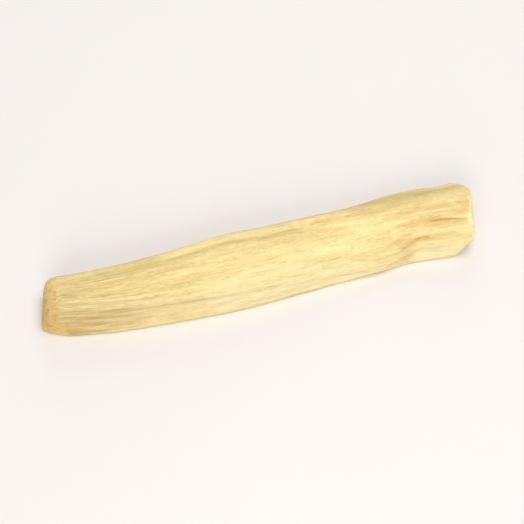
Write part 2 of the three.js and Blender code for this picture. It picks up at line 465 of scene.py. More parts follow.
def outward_normals(grid):
    """The direction that the surface faces at each point of a grid of rings."""
    along = np.gradient(grid, axis=0)
    round_it = np.roll(grid, -1, axis=1) - np.roll(grid, 1, axis=1)
    normal = np.cross(along, round_it)
    return normal / np.maximum(np.linalg.norm(normal, axis=-1, keepdims=True), 1e-9)


def split_texture(place, torn):
    """Random fine heights of a split face: waves, fibre bundles, broken grooves, and the ledges where a layer
    of wood ended."""
    height = sum(t["height"] * smooth_noise(place, t) for t in SPLIT_TEXTURE)
    broken = 0.5 + 0.5 * smooth_noise(place, GROOVE_BREAKS)
    for groove in GROOVES:
        nearness = 1 - np.abs(smooth_noise(place, groove))
        height -= groove["depth"] * broken * nearness ** groove["narrow"]
    layers = smooth_noise(place, LEDGES)
    steps = terraced(layers, LEDGES["step"], LEDGES["riser"]) - LEDGES["level"] * layers
    height += LEDGES["height"] * steps / LEDGES["step"]
    height += TORN_TEXTURE["height"] * torn * smooth_noise(place, TORN_TEXTURE)
    return height


def end_texture(place):
    """Random fine heights of a sawn end: the ends of the fibres, torn pits and saw marks."""
    height = sum(t["height"] * smooth_noise(place, t) for t in END_TEXTURE)
    pits = smooth_noise(place, PITS)
    height -= PITS["depth"] * smoothstep(pits, PITS["low"], PITS["high"])
    y, z = place[..., 1], place[..., 2]
    along_cut = y * math.cos(SAW_MARKS["lean"]) + z * math.sin(SAW_MARKS["lean"])
    across_cut = z * math.cos(SAW_MARKS["lean"]) - y * math.sin(SAW_MARKS["lean"])
    phase = (across_cut + SAW_MARKS["bow"] * along_cut**2) / SAW_MARKS["spacing"]
    height += SAW_MARKS["height"] * np.sin(math.tau * phase)
    return height


# Tints that follow the surface, as soft patches along the grain. Each is its face, its place across the face
# where it starts and where it ends, how far it spreads across, where it starts and ends along the grain, how
# gradually, and how strong it is. Each stays on its own face, with a soft border, and off the sawn ends.
TINTS = {
    "rose": [
        ("near", 0.6, 0.6, 0.6, -60, -24, 14, 0.9),
        ("near", 0.4, 0.4, 0.6, -58, -38, 5, 0.55),
        ("near", 0.2, 0.2, 0.2, -60, -33, 7, 0.6),
        ("near", 0.92, 0.92, 0.07, -52, -5, 7, 0.7),
        ("near", 0.5, 0.5, 0.5, -50, 22, 24, 0.35),
        ("near", 0.6, 0.6, 0.5, 45.5, 60, 3, 0.65),
        ("near", 0.9, 0.87, 0.08, -48, -37, 3, 0.9),
        ("near", 0.67, 0.6, 0.2, 4, 23, 2.5, 0.75),
        ("near", 0.55, 0.5, 0.15, -14, -4, 2.5, 0.6),
        ("near", 0.25, 0.2, 0.12, -28, -20, 3, 0.4),
        ("top", 0.17, 0.15, 0.035, 37, 47, 3, 0.4),
        ("top", 0.5, 0.5, 0.7, -60, -28, 10, 0.13),
    ],
    # Greenish grey: partly the wood's own olive tone, and partly painted shade along the far side of the top
    # face, over the bevel and by the left end, which face away from the lamps.
    "olive_and_shade": [
        ("top", 0.87, 0.87, 0.25, -50, -18, 12, 0.4),
        ("top", 0.95, 0.9, 0.07, -44, -28, 6, 0.5),
        ("top", 0.89, 0.9, 0.07, -36, -14, 6, 0.8),
        ("top", 0.9, 0.9, 0.055, -22, 12, 7, 0.95),
        ("top", 0.3, 0.28, 0.12, -47.5, -41, 2, 0.8),
        ("near", 0.16, 0.1, 0.16, -58, -42, 4, 0.5),
        ("near", 0.5, 0.45, 0.4, -49, -45.5, 1.5, 0.45),
        ("top", 0.75, 0.75, 0.35, -56, -43.5, 2.5, 0.65),
        ("top", 0.6, 0.6, 0.22, -46, -38, 3, 0.35),
        ("top", 0.22, 0.22, 0.1, -42, -33, 4, 0.4),
        ("top", 1.01, 1.0, 0.06, 20, 37, 6, 0.9),
        ("top", 0.88, 0.86, 0.07, 31, 48, 4, 0.45),
        ("bevel", 0.45, 0.5, 0.46, 16, 56, 10, 0.95),
        ("bevel", 0.05, 0.05, 0.12, 31, 41, 3, 0.4),
        ("bevel", 0.5, 0.5, 0.5, -56, 20, 14, 0.3),
        ("far", 0.75, 0.75, 0.15, -30, 34, 18, 0.4),
    ],
    "ochre": [
        ("near", 0.26, 0.08, 0.1, -53, -38, 5, 1.0),
        ("near", 0.41, 0.38, 0.09, -50, -39, 3, 0.5),
        ("near", 0.35, 0.35, 0.3, -56, -48.5, 1.2, 0.45),
        ("near", 0.06, 0.06, 0.1, 33, 44, 3, 0.3),
        ("under", 0.9, 0.9, 0.3, -56, -47, 2, 0.8),
        ("top", 0.87, 0.77, 0.08, 32, 47, 4, 0.75),
        ("top", 0.9, 0.9, 0.14, 47, 54, 1.5, 1.0),
        ("top", 0.66, 0.65, 0.05, 43, 50, 2.5, 1.0),
        ("top", 0.7, 0.69, 0.035, 36, 46, 3, 0.3),
        ("top", 0.8, 0.8, 0.06, 11, 19, 2.5, 0.35),
        ("top", 0.2, 0.2, 0.05, 24, 28, 2, 0.4),
        ("top", 0.41, 0.4, 0.05, 27, 33, 2, 0.35),
        ("top", 0.5, 0.42, 0.07, 33, 50, 4, 1.0),
        ("top", 0.53, 0.48, 0.11, 31, 46, 5, 0.65),
        ("top", 0.12, 0.12, 0.14, -52, -45.5, 1.2, 0.5),
        ("near", 0.97, 0.97, 0.06, 33, 39, 2, 0.5),
        ("near", 0.55, 0.5, 0.15, -13, -5, 2.5, 0.35),
        ("top", 0.03, 0.03, 0.08, 30, 51, 4, 0.55),
        ("top", 0.06, 0.12, 0.07, 31, 40, 2, 0.9),
        ("under", 0.5, 0.5, 0.6, -60, 60, 10, 0.35),
    ],
    # Painted light: the rows on the near face lighten that steep side where the lamps leave it darker, above
    # all past x = 23. The rows on the top face are paler wood.
    "pale_and_painted_light": [
        ("near", 0.5, 0.5, 0.6, -20, 38, 16, 0.8),
        ("near", 0.66, 0.66, 0.8, 33, 49, 4, 1.0),
        ("near", 0.5, 0.5, 0.5, -34, -6, 8, 0.4),
        ("near", 0.8, 0.8, 0.15, 23, 34, 3, 0.6),
        ("top", 0.0, 0.0, 0.35, -20, 34, 14, 0.35),
        ("top", 0.4, 0.4, 0.25, 48.3, 56, 1.2, 0.8),
        ("top", 0.19, 0.19, 0.14, 44.5, 56, 3, 0.4),
    ],
    "pale": [
        ("near", 0.55, 0.52, 0.035, -45, -36, 2.5, 0.45),
        ("near", 0.26, 0.2, 0.04, -46, -35, 4, 0.35),
        ("near", 0.06, 0.03, 0.05, -39, -33, 2, 0.6),
        # Painted highlight: a pale streak along the near arris at the left.
        ("top", 0.12, -0.02, 0.04, -46, -33, 3, 0.5),
        ("top", 0.65, 0.6, 0.1, -48, -44.5, 1, 0.25),
        ("top", 0.35, 0.35, 0.4, -26, 36, 18, 0.4),
        # Painted light: these two rows lighten the rounding of the far arris, which the lamps leave in shade.
        ("top", 1.0, 1.0, 0.045, -24, 8, 5, 1.0),
        ("bevel", 0.0, 0.0, 0.1, -24, 8, 5, 0.8),
        ("top", 0.7, 0.7, 0.06, 16, 38, 8, 0.8),
        ("top", 0.76, 0.77, 0.035, 35, 47, 4, 1.0),
        ("top", 1.0, 1.06, 0.04, 40, 52, 3, 1.0),
        ("top", 0.22, 0.25, 0.08, 33, 54, 4, 0.6),
        ("top", 0.15, 0.15, 0.06, 28, 32, 1.5, 0.6),
        ("top", 0.03, 0.03, 0.06, -35, -29, 2, 0.5),
        ("near", 0.52, 0.45, 0.1, -39, -29, 3, 0.5),
        ("top", 0.6, 0.64, 0.035, 20, 39, 4, 0.4),
        ("top", 0.38, 0.38, 0.05, 12, 20, 2.5, 0.6),
        ("top", 0.1, 0.1, 0.05, 12, 22, 2.5, 0.6),
        ("top", 0.28, 0.28, 0.04, 20, 26, 2, 0.2),
        ("top", 0.3, 0.34, 0.035, 14, 33, 5, 0.6),
        ("top", 0.83, 0.83, 0.03, 12, 32, 5, 0.8),
        # Painted light: lightens the near face above the foot, where it turns down into shade.
        ("near", 0.34, 0.34, 0.2, 8, 31, 4, 0.55),
    ],
    "stain_and_crack_shade": [
        # Painted shade: the first five rows darken the crack, the thin splits by it and the torn edge by the
        # chip, as the shade inside those clefts. The rest are stains.
        ("top", 0.54, 0.49, 0.03, 37, 50, 4, 0.6),
        ("top", 0.63, 0.54, 0.018, 33, 43, 4, 0.5),
        ("top", 0.12, 0.11, 0.025, 35, 40, 1.5, 0.7),
        ("top", 0.03, 0.08, 0.022, 30, 37, 1.5, 0.9),
        ("near", 0.85, 0.85, 0.05, 31, 35, 1.5, 0.2),
        ("near", 0.12, 0.07, 0.1, -56, -36, 6, 0.6),
        ("near", 0.36, 0.32, 0.2, -58, -37, 6, 0.25),
        ("near", 0.72, 0.64, 0.045, -48, -36, 3, 0.65),
        ("far", 0.6, 0.6, 0.12, -44, 8, 14, 0.5),
        ("under", 0.35, 0.35, 0.1, -20, 44, 14, 0.6),
    ],
}

# How soft the border of a face is for its patches, and how the patches are drawn aside
TINT_BORDER = 0.06
TINT_WANDER = {"across": 0.015, "along": 1.2, "cell": (9, 1.2, 1.2), "seed": 41}

# Tints of the sawn ends, and where their fibres are torn and specked, as soft round patches: on the left (-1)
# or the right (1), the middle y and z, the spread and how strong
END_TINTS = {
    "pale_and_painted_light": [(1, 1.5, 9.5, 2.6, 1.0), (1, -3.5, 8.0, 2.6, 1.0), (1, -7.5, 6.0, 2.0, 0.8)],
    "rose": [(-1, -3.4, 4.2, 3.4, 0.95), (-1, -4.4, 7.0, 2.0, 0.4)],
    "ochre": [
        # Partly painted shade: the first two rows darken the left end low down, towards the floor, as well as
        # giving its orange end grain.
        (-1, -2.6, 2.6, 2.8, 1.0),
        (-1, -3.6, 0.4, 1.6, 0.6),
        (-1, -4.2, 8.0, 2.4, 0.6),
        (1, 3.5, 4.0, 3.0, 0.6),
    ],
    "stain_and_crack_shade": [(-1, 1.0, 6.6, 1.4, 0.25), (1, -3.0, 3.0, 2.0, 0.4)],
    "specked": [
        (-1, 1.0, 8.0, 4.2, 1.0),
        (-1, -3.5, 4.0, 3.4, 1.0),
        (1, 4.5, 6.0, 3.0, 0.5),
        (1, -5.0, 2.0, 3.0, 0.4),
    ],
}


def tint_at(patches, girth, x):
    """How strong a tint is over the whole skin, from 0 to 1."""
    total = np.zeros(x.shape)
    for face, place_at_start, place_at_end, spread, start, end, run_out, amount in patches:
        share = np.clip((x - start) / (end - start), 0, 1)
        middle = place_at_start * (1 - share) + place_at_end * share
        across = girth - FACE_NAMES.index(face)
        on_face = between(across, -TINT_BORDER, 1 + TINT_BORDER, 2 * TINT_BORDER)
        total += amount * hump(across, middle, spread) * on_face * between(x, start, end, run_out)
    return np.clip(total, 0, 1)


def end_tint_at(patches, grid):
    """How strong a tint is over the sawn ends, from 0 to 1."""
    total = np.zeros(grid.shape[:2])
    for side, y, z, spread, amount in patches:
        away = np.hypot(grid[..., 1] - y, grid[..., 2] - z)
        total += amount * hump(away, 0, spread) * (grid[..., 0] * side > 0)
    return np.clip(total, 0, 1)


def side_of_grain(lines, x):
    """Where one side of the stick lies across it at places x, as a smooth bend through some long edges."""
    along = np.linspace(LEFT, RIGHT, GRAIN_SAMPLES)
    across = np.mean([edge_at(line, along)[:, 0] for line in lines], axis=0)
    return np.polyval(np.polyfit(along, across, GRAIN_BEND), x)


def grain_places(grid):
    """Places for the grain, which spreads with the stick's sides: x and z as they are, and y as if the stick
    were as wide as GRAIN_WIDTH all along."""
    near = side_of_grain((NEAR_FOOT, NEAR_ARRIS), grid[..., 0])
    far = side_of_grain((FAR_ARRIS, FAR_SHOULDER), grid[..., 0])
    y = GRAIN_WIDTH * (grid[..., 1] - near) / (far - near)
    return np.stack([grid[..., 0], y, grid[..., 2]], -1)


def smooth_grid():
    """The skin before its fine texture, as a closed grid of points in millimetres, with how sawn each row is,
    how far each point is from a sawn end, and the middles of both ends."""
    skin, sawn = skin_rings()
    left_cap, left_centre = cap_rings(skin[0], LEFT_END, 1)
    right_cap, right_centre = cap_rings(skin[-1], RIGHT_END, -1)
    grid = np.concatenate([left_cap[::-1], skin, right_cap])
    x = grid[..., 0]
    from_end = np.minimum(np.abs(x - skin[0, :, 0]), np.abs(x - skin[-1, :, 0]))
    sawn = np.concatenate([np.ones((len(left_cap), 1)), sawn, np.ones((len(right_cap), 1))])
    centres = np.array([left_centre, right_centre])
    for points in (grid, centres):
        points[..., 1] += CENTRING_SHIFT
    return grid, sawn, from_end, centres


def torn_and_worn(girth, corner, x):
    """How torn the skin is in the troughs, and how worn by the long edges, from 0 to 1."""
    torn = np.zeros(x.shape)
    for k, name in enumerate(FACE_NAMES):
        own = (corner < 0) & (np.floor(girth) == k)
        torn[:, own] = torn_depth(name, girth[own][None, :] - k, x[:, own])
    worn = np.zeros(x.shape)
    faces = len(EDGES)
    for k, edge in enumerate(EDGES):
        from_edge = np.abs((girth - k + faces / 2) % faces - faces / 2)
        worn = np.maximum(worn, edge["worn"] * hump(from_edge, 0, WORN_SPREAD)[None, :])
    return np.clip(torn / FULLY_TORN, 0, 1), worn


def tint_masks(grid, grain_place, girth, sawn):
    """How strong each tint is over the whole skin, from 0 to 1."""
    wander = smooth_noise(grain_place, TINT_WANDER)
    tint_girth = girth[None, :] + TINT_WANDER["across"] * wander
    tint_x = grid[..., 0] + TINT_WANDER["along"] * wander
    on_end = smoothstep(sawn, *ON_END)
    masks = {"specked": end_tint_at(END_TINTS["specked"], grid)}
    for name, patches in TINTS.items():
        along_faces = tint_at(patches, tint_girth, tint_x)
        over_ends = end_tint_at(END_TINTS.get(name, []), grid)
        masks[name] = along_faces * (1 - on_end) + over_ends * on_end
    return masks


def stick_surface():
    """The whole skin as a closed grid of points, its masks, its places for the grain and the middles of both
    ends, in millimetres."""
    grid, sawn, from_end, centres = smooth_grid()
    girth, corner = column_facts()
    x = grid[..., 0]
    torn, worn = torn_and_worn(girth, corner, x)
    torn *= 1 - sawn
    grain_place = grain_places(grid)
    along_split = split_texture(grain_place, torn)
    nick = smoothstep(smooth_noise(grain_place, NICKS), NICKS["low"], NICKS["high"])
    along_split -= NICKS["depth"] * nick * worn
    along_split *= 1 - CRACK_CALM * by_crack(girth[None, :] - FACE_NAMES.index("top"), x)
    across_end = end_texture(grid)
    by_end = np.where(sawn == 1, 1, hump(from_end, 0, RAGGED_REACH))
    moved = grid + outward_normals(grid) * (along_split * (1 - sawn))[..., None]
    moved[..., 0] += across_end * by_end * np.sign(x)
    moved[..., 2] = np.maximum(moved[..., 2], 0)

    height = along_split * (1 - sawn) + across_end * sawn
    wave = SPLIT_TEXTURE[0]["height"] * smooth_noise(grain_place, SPLIT_TEXTURE[0])
    clear_of_floor = smoothstep(grid[..., 2], *ABOVE_FLOOR)
    off_ends = smoothstep(from_end, *OFF_ENDS)
    masks = {
        "sawn": np.broadcast_to(sawn, x.shape),
        # Wear along the long edges and the rims, which also sets where the painted edge highlight goes
        "worn": np.maximum(worn * (1 - sawn), RIM_WEAR * hump(from_end, *RUBBED_AT)),
        # How low a place lies, which sets where the painted shade goes
        "relief": np.clip((height - wave) / RELIEF_SPAN, -1, 1),
        "splintered": np.clip(PLAIN_SPLINTERS + worn + torn, 0, 1) * off_ends * clear_of_floor,
        "frayed": hump(from_end, *FRAYED_AT) * clear_of_floor,
        **tint_masks(grid, grain_place, girth, sawn),
    }
    return moved, masks, grain_place, centres


def stick_mesh():
    """The skin as a mesh in metres, with its masks as attributes of its points."""
    grid, masks, grain_place, centres = stick_surface()
    rows, columns = grid.shape[:2]
    points = np.concatenate([grid.reshape(-1, 3), centres]) * MM

    row = np.arange(rows - 1)[:, None]
    column = np.arange(columns)[None, :]
    following = (column + 1) % columns
    a, b = row * columns + column, row * columns + following
    quads = np.stack([a, a + columns, b + columns, b], -1).reshape(-1, 4)
    left_middle = rows * columns
    last = (rows - 1) * columns
    ends = [(left_middle, i, (i + 1) % columns) for i in range(columns)]
    ends += [(left_middle + 1, last + (i + 1) % columns, last + i) for i in range(columns)]

    mesh = bpy.data.meshes.new("split_stick")
    mesh.from_pydata(points.tolist(), [], quads.tolist() + ends)
    mesh.shade_smooth()
    for name, values in masks.items():
        attribute = mesh.attributes.new(name, "FLOAT", "POINT")
        both_ends = [values[0].mean(), values[-1].mean()]
        attribute.data.foreach_set("value", np.concatenate([values.ravel(), both_ends]).astype(np.float32))
    middles = grain_place[[0, -1]].mean(axis=1)
    attribute = mesh.attributes.new("grain_place", "FLOAT_VECTOR", "POINT")
    places = np.concatenate([grain_place.reshape(-1, 3), middles])
    attribute.data.foreach_set("vector", places.ravel().astype(np.float32))
    return mesh


# Node trees. Most helpers add one node and return the socket that it puts out.
MIX_A = 6
MIX_B = 7
MIX_RESULT = 2


def add_node(tree, kind, inputs=None, **settings):
    """Adds a node with its settings, and sets or links its inputs, which are given by name or number."""
    node = tree.nodes.new(kind)
    for name, value in settings.items():
        setattr(node, name, value)
    for key, value in (inputs or {}).items():
        if isinstance(value, bpy.types.NodeSocket):
            tree.links.new(value, node.inputs[key])
        else:
            node.inputs[key].default_value = value
    return node


def calculate(tree, operation, *values):
    """One sum on values or sockets."""
    return add_node(tree, "ShaderNodeMath", dict(enumerate(values)), operation=operation).outputs[0]


def times(tree, a, b):
    """Two values or sockets multiplied."""
    return calculate(tree, "MULTIPLY", a, b)


def plus(tree, a, b):
    """Two values or sockets added."""
    return calculate(tree, "ADD", a, b)


def remap(tree, value, low, high, to_low=0.0, to_high=1.0):
    """Takes the range from low to high to another range, smoothly and within its ends."""
    inputs = {"Value": value, "From Min": low, "From Max": high, "To Min": to_low, "To Max": to_high}
    return add_node(tree, "ShaderNodeMapRange", inputs, interpolation_type="SMOOTHSTEP").outputs[0]


def noise(tree, place, scale, detail=2.0, roughness=0.5):
    """A soft random pattern from 0 to 1."""
    inputs = {"Vector": place, "Scale": scale, "Detail": detail, "Roughness": roughness}
    return add_node(tree, "ShaderNodeTexNoise", inputs).outputs["Fac"]


def vector_sum(tree, operation, *values):
    """One sum on vectors."""
    return add_node(tree, "ShaderNodeVectorMath", dict(enumerate(values)), operation=operation).outputs[0]


def stretch(tree, place, size):
    """Scales a place so that a pattern's features get a size along x, y and z, in millimetres."""
    return vector_sum(tree, "DIVIDE", place, size)


def stretched_noise(tree, place, size, detail=2.0, roughness=0.5):
    """A soft random pattern from 0 to 1 whose features have a size along x, y and z, in millimetres."""
    return noise(tree, stretch(tree, place, size), 1.0, detail, roughness)


def as_vector(tree, x, y, z):
    """Three values or sockets as one vector."""
    return add_node(tree, "ShaderNodeCombineXYZ", {0: x, 1: y, 2: z}).outputs[0]


def mask_of(tree, name):
    """One of the mesh's masks."""
    return add_node(tree, "ShaderNodeAttribute", attribute_name=name).outputs["Fac"]


def tinted(tree, colour, factor, tint):
    """A colour that changes towards a tint by a factor."""
    inputs = {0: factor, MIX_A: colour, MIX_B: tint}
    return add_node(tree, "ShaderNodeMix", inputs, data_type="RGBA").outputs[MIX_RESULT]


def layered(tree, colour, layers):
    """A colour with tints laid over it in turn, each by a pattern and a strength."""
    for pattern, strength, tint in layers:
        colour = tinted(tree, colour, times(tree, pattern, strength), tint)
    return colour


def new_group(name, inputs, outputs):
    """A shader node group whose inputs are numbers or, where no value is given, places, and whose outputs are
    numbers. Returns it with its input sockets and its output node."""
    tree = bpy.data.node_groups.new(name, "ShaderNodeTree")
    for label, value in inputs.items():
        kind = "NodeSocketVector" if value is None else "NodeSocketFloat"
        socket = tree.interface.new_socket(label, in_out="INPUT", socket_type=kind)
        if value is not None:
            socket.default_value = value
    for label in outputs:
        tree.interface.new_socket(label, in_out="OUTPUT", socket_type="NodeSocketFloat")
    return tree, add_node(tree, "NodeGroupInput").outputs, add_node(tree, "NodeGroupOutput")


def put_out(tree, node, values):
    """Links a group's results to its output node."""
    for label, socket in values.items():
        tree.links.new(socket, node.inputs[label])


def place_in_mm(tree):
    """The place on the piece in millimetres."""
    place = add_node(tree, "ShaderNodeTexCoord").outputs["Object"]
    return vector_sum(tree, "MULTIPLY", place, (1 / MM,) * 3)


# The size of the waves that draw the grain aside, in millimetres, and their strength
WANDER_SIZE = (32, 14, 14)
WANDER_REACH = (0, 2.6, 2.6)


def wandering_place(tree, place):
    """A place in millimetres, drawn slowly aside by a fraction of a millimetre, so the grain isn't ruled."""
    slow = add_node(tree, "ShaderNodeTexNoise", {"Vector": stretch(tree, place, WANDER_SIZE), "Scale": 1.0})
    centred = vector_sum(tree, "SUBTRACT", slow.outputs["Color"], (0.5, 0.5, 0.5))
    return vector_sum(tree, "ADD", place, vector_sum(tree, "MULTIPLY", centred, WANDER_REACH))


# How far off the middle of the tree is, along y and z, in millimetres
PITH = (34.0, 21.0)

# Soft patterns of the grain: the size of their features along x, y and z in millimetres, their detail and
# their roughness
GRAIN_PATTERNS = {
    "Streaks": ((6, 0.7, 0.7), 3.0, 0.6),
    "Ribbon": ((15, 2.4, 2.4), 2.0, 0.5),
    "Blush": ((9, 1.8, 2.2), 2.0, 0.5),
    "Mottle": ((1.5, 0.6, 0.6), 1.0, 0.5),
}


def growth_rings(tree, place, spacing):
    """Rings round the middle of the tree, each darker towards the end of its year."""
    split = add_node(tree, "ShaderNodeSeparateXYZ", {0: place}).outputs
    off_y = plus(tree, split["Y"], PITH[0])
    off_z = plus(tree, split["Z"], PITH[1])
    squares = [times(tree, off, off) for off in (off_y, off_z)]
    radius = calculate(tree, "SQRT", plus(tree, *squares))
    uneven = times(tree, stretched_noise(tree, place, (60, 9, 9), 1.0), 3.4)
    rings_passed = calculate(tree, "DIVIDE", plus(tree, radius, uneven), spacing)
    within = calculate(tree, "FRACT", rings_passed)
    late_wood = remap(tree, within, 0.45, 0.93)
    return times(tree, late_wood, remap(tree, within, 0.93, 1.0, 1.0, 0.0))


def scattered_pores(tree, place, spacing):
    """Short dark pores along the grain, in about half of the cells that they could be in."""
    pore_size = as_vector(tree, times(tree, spacing, 6.0), spacing, spacing)
    inputs = {"Vector": stretch(tree, place, pore_size), "Scale": 1.0, "Randomness": 0.95}
    cells = add_node(tree, "ShaderNodeTexVoronoi", inputs).outputs
    pores = remap(tree, cells["Distance"], 0.1, 0.3, 1.0, 0.0)
    chance = add_node(tree, "ShaderNodeSeparateColor", {0: cells["Color"]}).outputs[0]
    return times(tree, pores, remap(tree, chance, 0.45, 0.6))


def wood_grain_group():
    """Fibres, streaks, growth rings, ribbon, pores and mottle of the wood, along the X of a place in mm."""
    inputs = {"Place": None, "Fibre Width": 0.28, "Ring Spacing": 1.5, "Pore Spacing": 0.36}
    outputs = ["Fibres", "Threads", "Lines", "Rings", "Pores", *GRAIN_PATTERNS]
    tree, given, result = new_group("wood_grain", inputs, outputs)
    place = wandering_place(tree, given["Place"])
    found = {name: stretched_noise(tree, place, *facts) for name, facts in GRAIN_PATTERNS.items()}

    width = given["Fibre Width"]
    fibre_length = times(tree, width, 26.0)
    fibre_size = as_vector(tree, fibre_length, width, width)
    found["Fibres"] = stretched_noise(tree, place, fibre_size, 3.0, 0.62)

    thread_width = times(tree, width, 0.42)
    thread_size = as_vector(tree, times(tree, width, 14.0), thread_width, thread_width)
    found["Threads"] = stretched_noise(tree, place, thread_size, 2.0, 0.6)

    layers = times(tree, stretched_noise(tree, place, (30, 1.5, 1.5), 2.0, 0.55), 13.0)
    in_layer = calculate(tree, "SUBTRACT", calculate(tree, "FRACT", layers), 0.5)
    from_line = calculate(tree, "ABSOLUTE", in_layer)
    broken = remap(tree, stretched_noise(tree, place, (7, 0.9, 0.9)), 0.42, 0.62)
    found["Lines"] = times(tree, remap(tree, from_line, 0.02, 0.2, 1.0, 0.0), broken)
    found["Rings"] = growth_rings(tree, place, given["Ring Spacing"])
    found["Pores"] = scattered_pores(tree, place, given["Pore Spacing"])
    put_out(tree, result, found)
    return tree


def sawn_end_group():
    """The sawn ends: where they are, the marks of the saw, dark torn specks and broader patches."""
    outputs = ["Mask", "Marks", "Specks", "Patches"]
    tree, given, result = new_group("sawn_end", {"Speck Size": 0.6, "Patch Size": 1.3}, outputs)
    place = place_in_mm(tree)
    size = given["Speck Size"]
    tall = times(tree, size, 2.0)
    specks = stretched_noise(tree, place, as_vector(tree, 1.5, size, tall), 3.0, 0.7)
    ragged = calculate(tree, "SUBTRACT", specks, 0.5)
    edge = plus(tree, mask_of(tree, "sawn"), times(tree, ragged, 0.9))
    mask = remap(tree, edge, 0.35, 0.75)
    split = add_node(tree, "ShaderNodeSeparateXYZ", {0: place}).outputs
    lean_y = times(tree, split["Y"], -math.sin(SAW_MARKS["lean"]))
    lean_z = times(tree, split["Z"], math.cos(SAW_MARKS["lean"]))
    across_cut = plus(tree, lean_y, lean_z)
    phase = times(tree, across_cut, math.tau / (0.5 * SAW_MARKS["spacing"]))
    marks = times(tree, calculate(tree, "SINE", phase), noise(tree, place, 0.9, 2.0))
    broad = noise(tree, place, calculate(tree, "DIVIDE", 1.0, given["Patch Size"]), 2.0, 0.6)
    torn_specks = times(tree, remap(tree, specks, 0.5, 0.66), mask_of(tree, "specked"))
    found = (mask, marks, torn_specks, remap(tree, broad, 0.42, 0.6))
    put_out(tree, result, dict(zip(outputs, found)))
    return tree


def wear_and_shade_group():
    """Where the surface is paler along its worn edges, partly as a painted highlight, and where its low
    places are darker, as painted shade with some dust.
    """
    tree, given, result = new_group("wear_and_shade", {"Breakup": 0.8}, ["Rubbed Highlight", "Shade And Dust"])
    place = place_in_mm(tree)
    breakup = calculate(tree, "SUBTRACT", stretched_noise(tree, place, (5, 1.1, 1.1), 3.0, 0.6), 0.5)
    breakup = times(tree, breakup, given["Breakup"])
    rubbed_highlight = remap(tree, plus(tree, mask_of(tree, "worn"), breakup), 0.25, 0.95)
    # Painted shade and dust: darker where the surface lies low, in the grooves, troughs and crack.
    low = times(tree, mask_of(tree, "relief"), -1.0)
    shade_and_dust = remap(tree, plus(tree, low, times(tree, breakup, 0.4)), 0.15, 0.95)
    put_out(tree, result, {"Rubbed Highlight": rubbed_highlight, "Shade And Dust": shade_and_dust})
    return tree


# The wood's colours, as linear values
CREAM = (0.80, 0.625, 0.27, 1)
PALE_CREAM = (0.89, 0.75, 0.35, 1)
PEACH = (0.80, 0.56, 0.26, 1)
LIME_CREAM = (0.84, 0.73, 0.335, 1)
STRAW = (0.70, 0.50, 0.205, 1)
TAN = (0.56, 0.375, 0.145, 1)
HONEY = (0.70, 0.45, 0.14, 1)
LIME_STRAW = (0.76, 0.60, 0.20, 1)
END_CREAM = (0.86, 0.64, 0.27, 1)
SPECK_BROWN = (0.42, 0.26, 0.09, 1)
# Dark resin brown, also laid on as painted shade in the crack and along the chip's torn edge
RESIN_AND_CRACK_SHADE = (0.33, 0.18, 0.05, 1)
# Greenish grey, partly the wood's own tone and partly painted shade on the far side
OLIVE_SHADE_GREY = (0.55, 0.45, 0.18, 1)
ROSE_GREY = (0.52, 0.38, 0.175, 1)
PALE_WOOD = (0.97, 0.86, 0.43, 1)
# A pale cream, laid on as painted light where the near face is lightened, and as paler wood elsewhere
PAINTED_LIGHT_CREAM = (1.0, 0.92, 0.56, 1)
# Pale rub along the long edges, partly a painted highlight on them
RUBBED_HIGHLIGHT_WHITE = (0.95, 0.83, 0.50, 1)

# How the grain colours clean wood, in turn: the pattern, its strength and the tint, and the range of the
# pattern over which it comes in, where it isn't the whole
GRAIN_TINTS = [
    ("Ribbon", 0.8, PALE_CREAM, (0.38, 0.62)),
    ("Blush", 0.3, PEACH, (0.5, 0.66)),
    ("Blush", 0.3, LIME_CREAM, (0.46, 0.34)),
    ("Rings", 0.2, STRAW, None),
    ("Streaks", 0.5, STRAW, (0.52, 0.7)),
    ("Streaks", 0.5, PALE_CREAM, (0.46, 0.3)),
    ("Lines", 0.32, TAN, None),
    ("Fibres", 0.26, TAN, (0.53, 0.66)),
    ("Fibres", 0.32, PALE_CREAM, (0.46, 0.33)),
    ("Mottle", 0.4, STRAW, (0.48, 0.66)),
    ("Mottle", 0.25, PALE_CREAM, (0.46, 0.3)),
    ("Pores", 0.36, TAN, None),
]

# The colour of each tint that the skin's masks carry, and its strength
TINT_COLOURS = [
    ("rose", ROSE_GREY, 0.9),
    # Greenish grey, partly painted shade
    ("olive_and_shade", OLIVE_SHADE_GREY, 0.9),
    # Honey orange, partly painted shade low on the left end
    ("ochre", HONEY, 0.8),
    # Pale cream, laid on as painted light on the near face, and as paler wood
    ("pale_and_painted_light", PAINTED_LIGHT_CREAM, 1.15),
    # Pale wood, laid on in places as painted light and painted highlight
    ("pale", PALE_WOOD, 0.85),
    # Dark resin brown, partly painted shade in the crack and splits
    ("stain_and_crack_shade", RESIN_AND_CRACK_SHADE, 0.55),
]


def new_material(name):
    """A material with only its Principled shader and output."""
    material = bpy.data.materials.new(name)
    material.use_nodes = True
    tree = material.node_tree
    return material, tree, tree.nodes["Principled BSDF"]


def wood_colour(tree, grain):
    """The colour of clean wood from its grain: cream, with paler and darker streaks and pores."""
    colour = CREAM
    for name, strength, tint, span in GRAIN_TINTS:
        pattern = remap(tree, grain[name], *span) if span else grain[name]
        colour = layered(tree, colour, [(pattern, strength, tint)])
    return colour


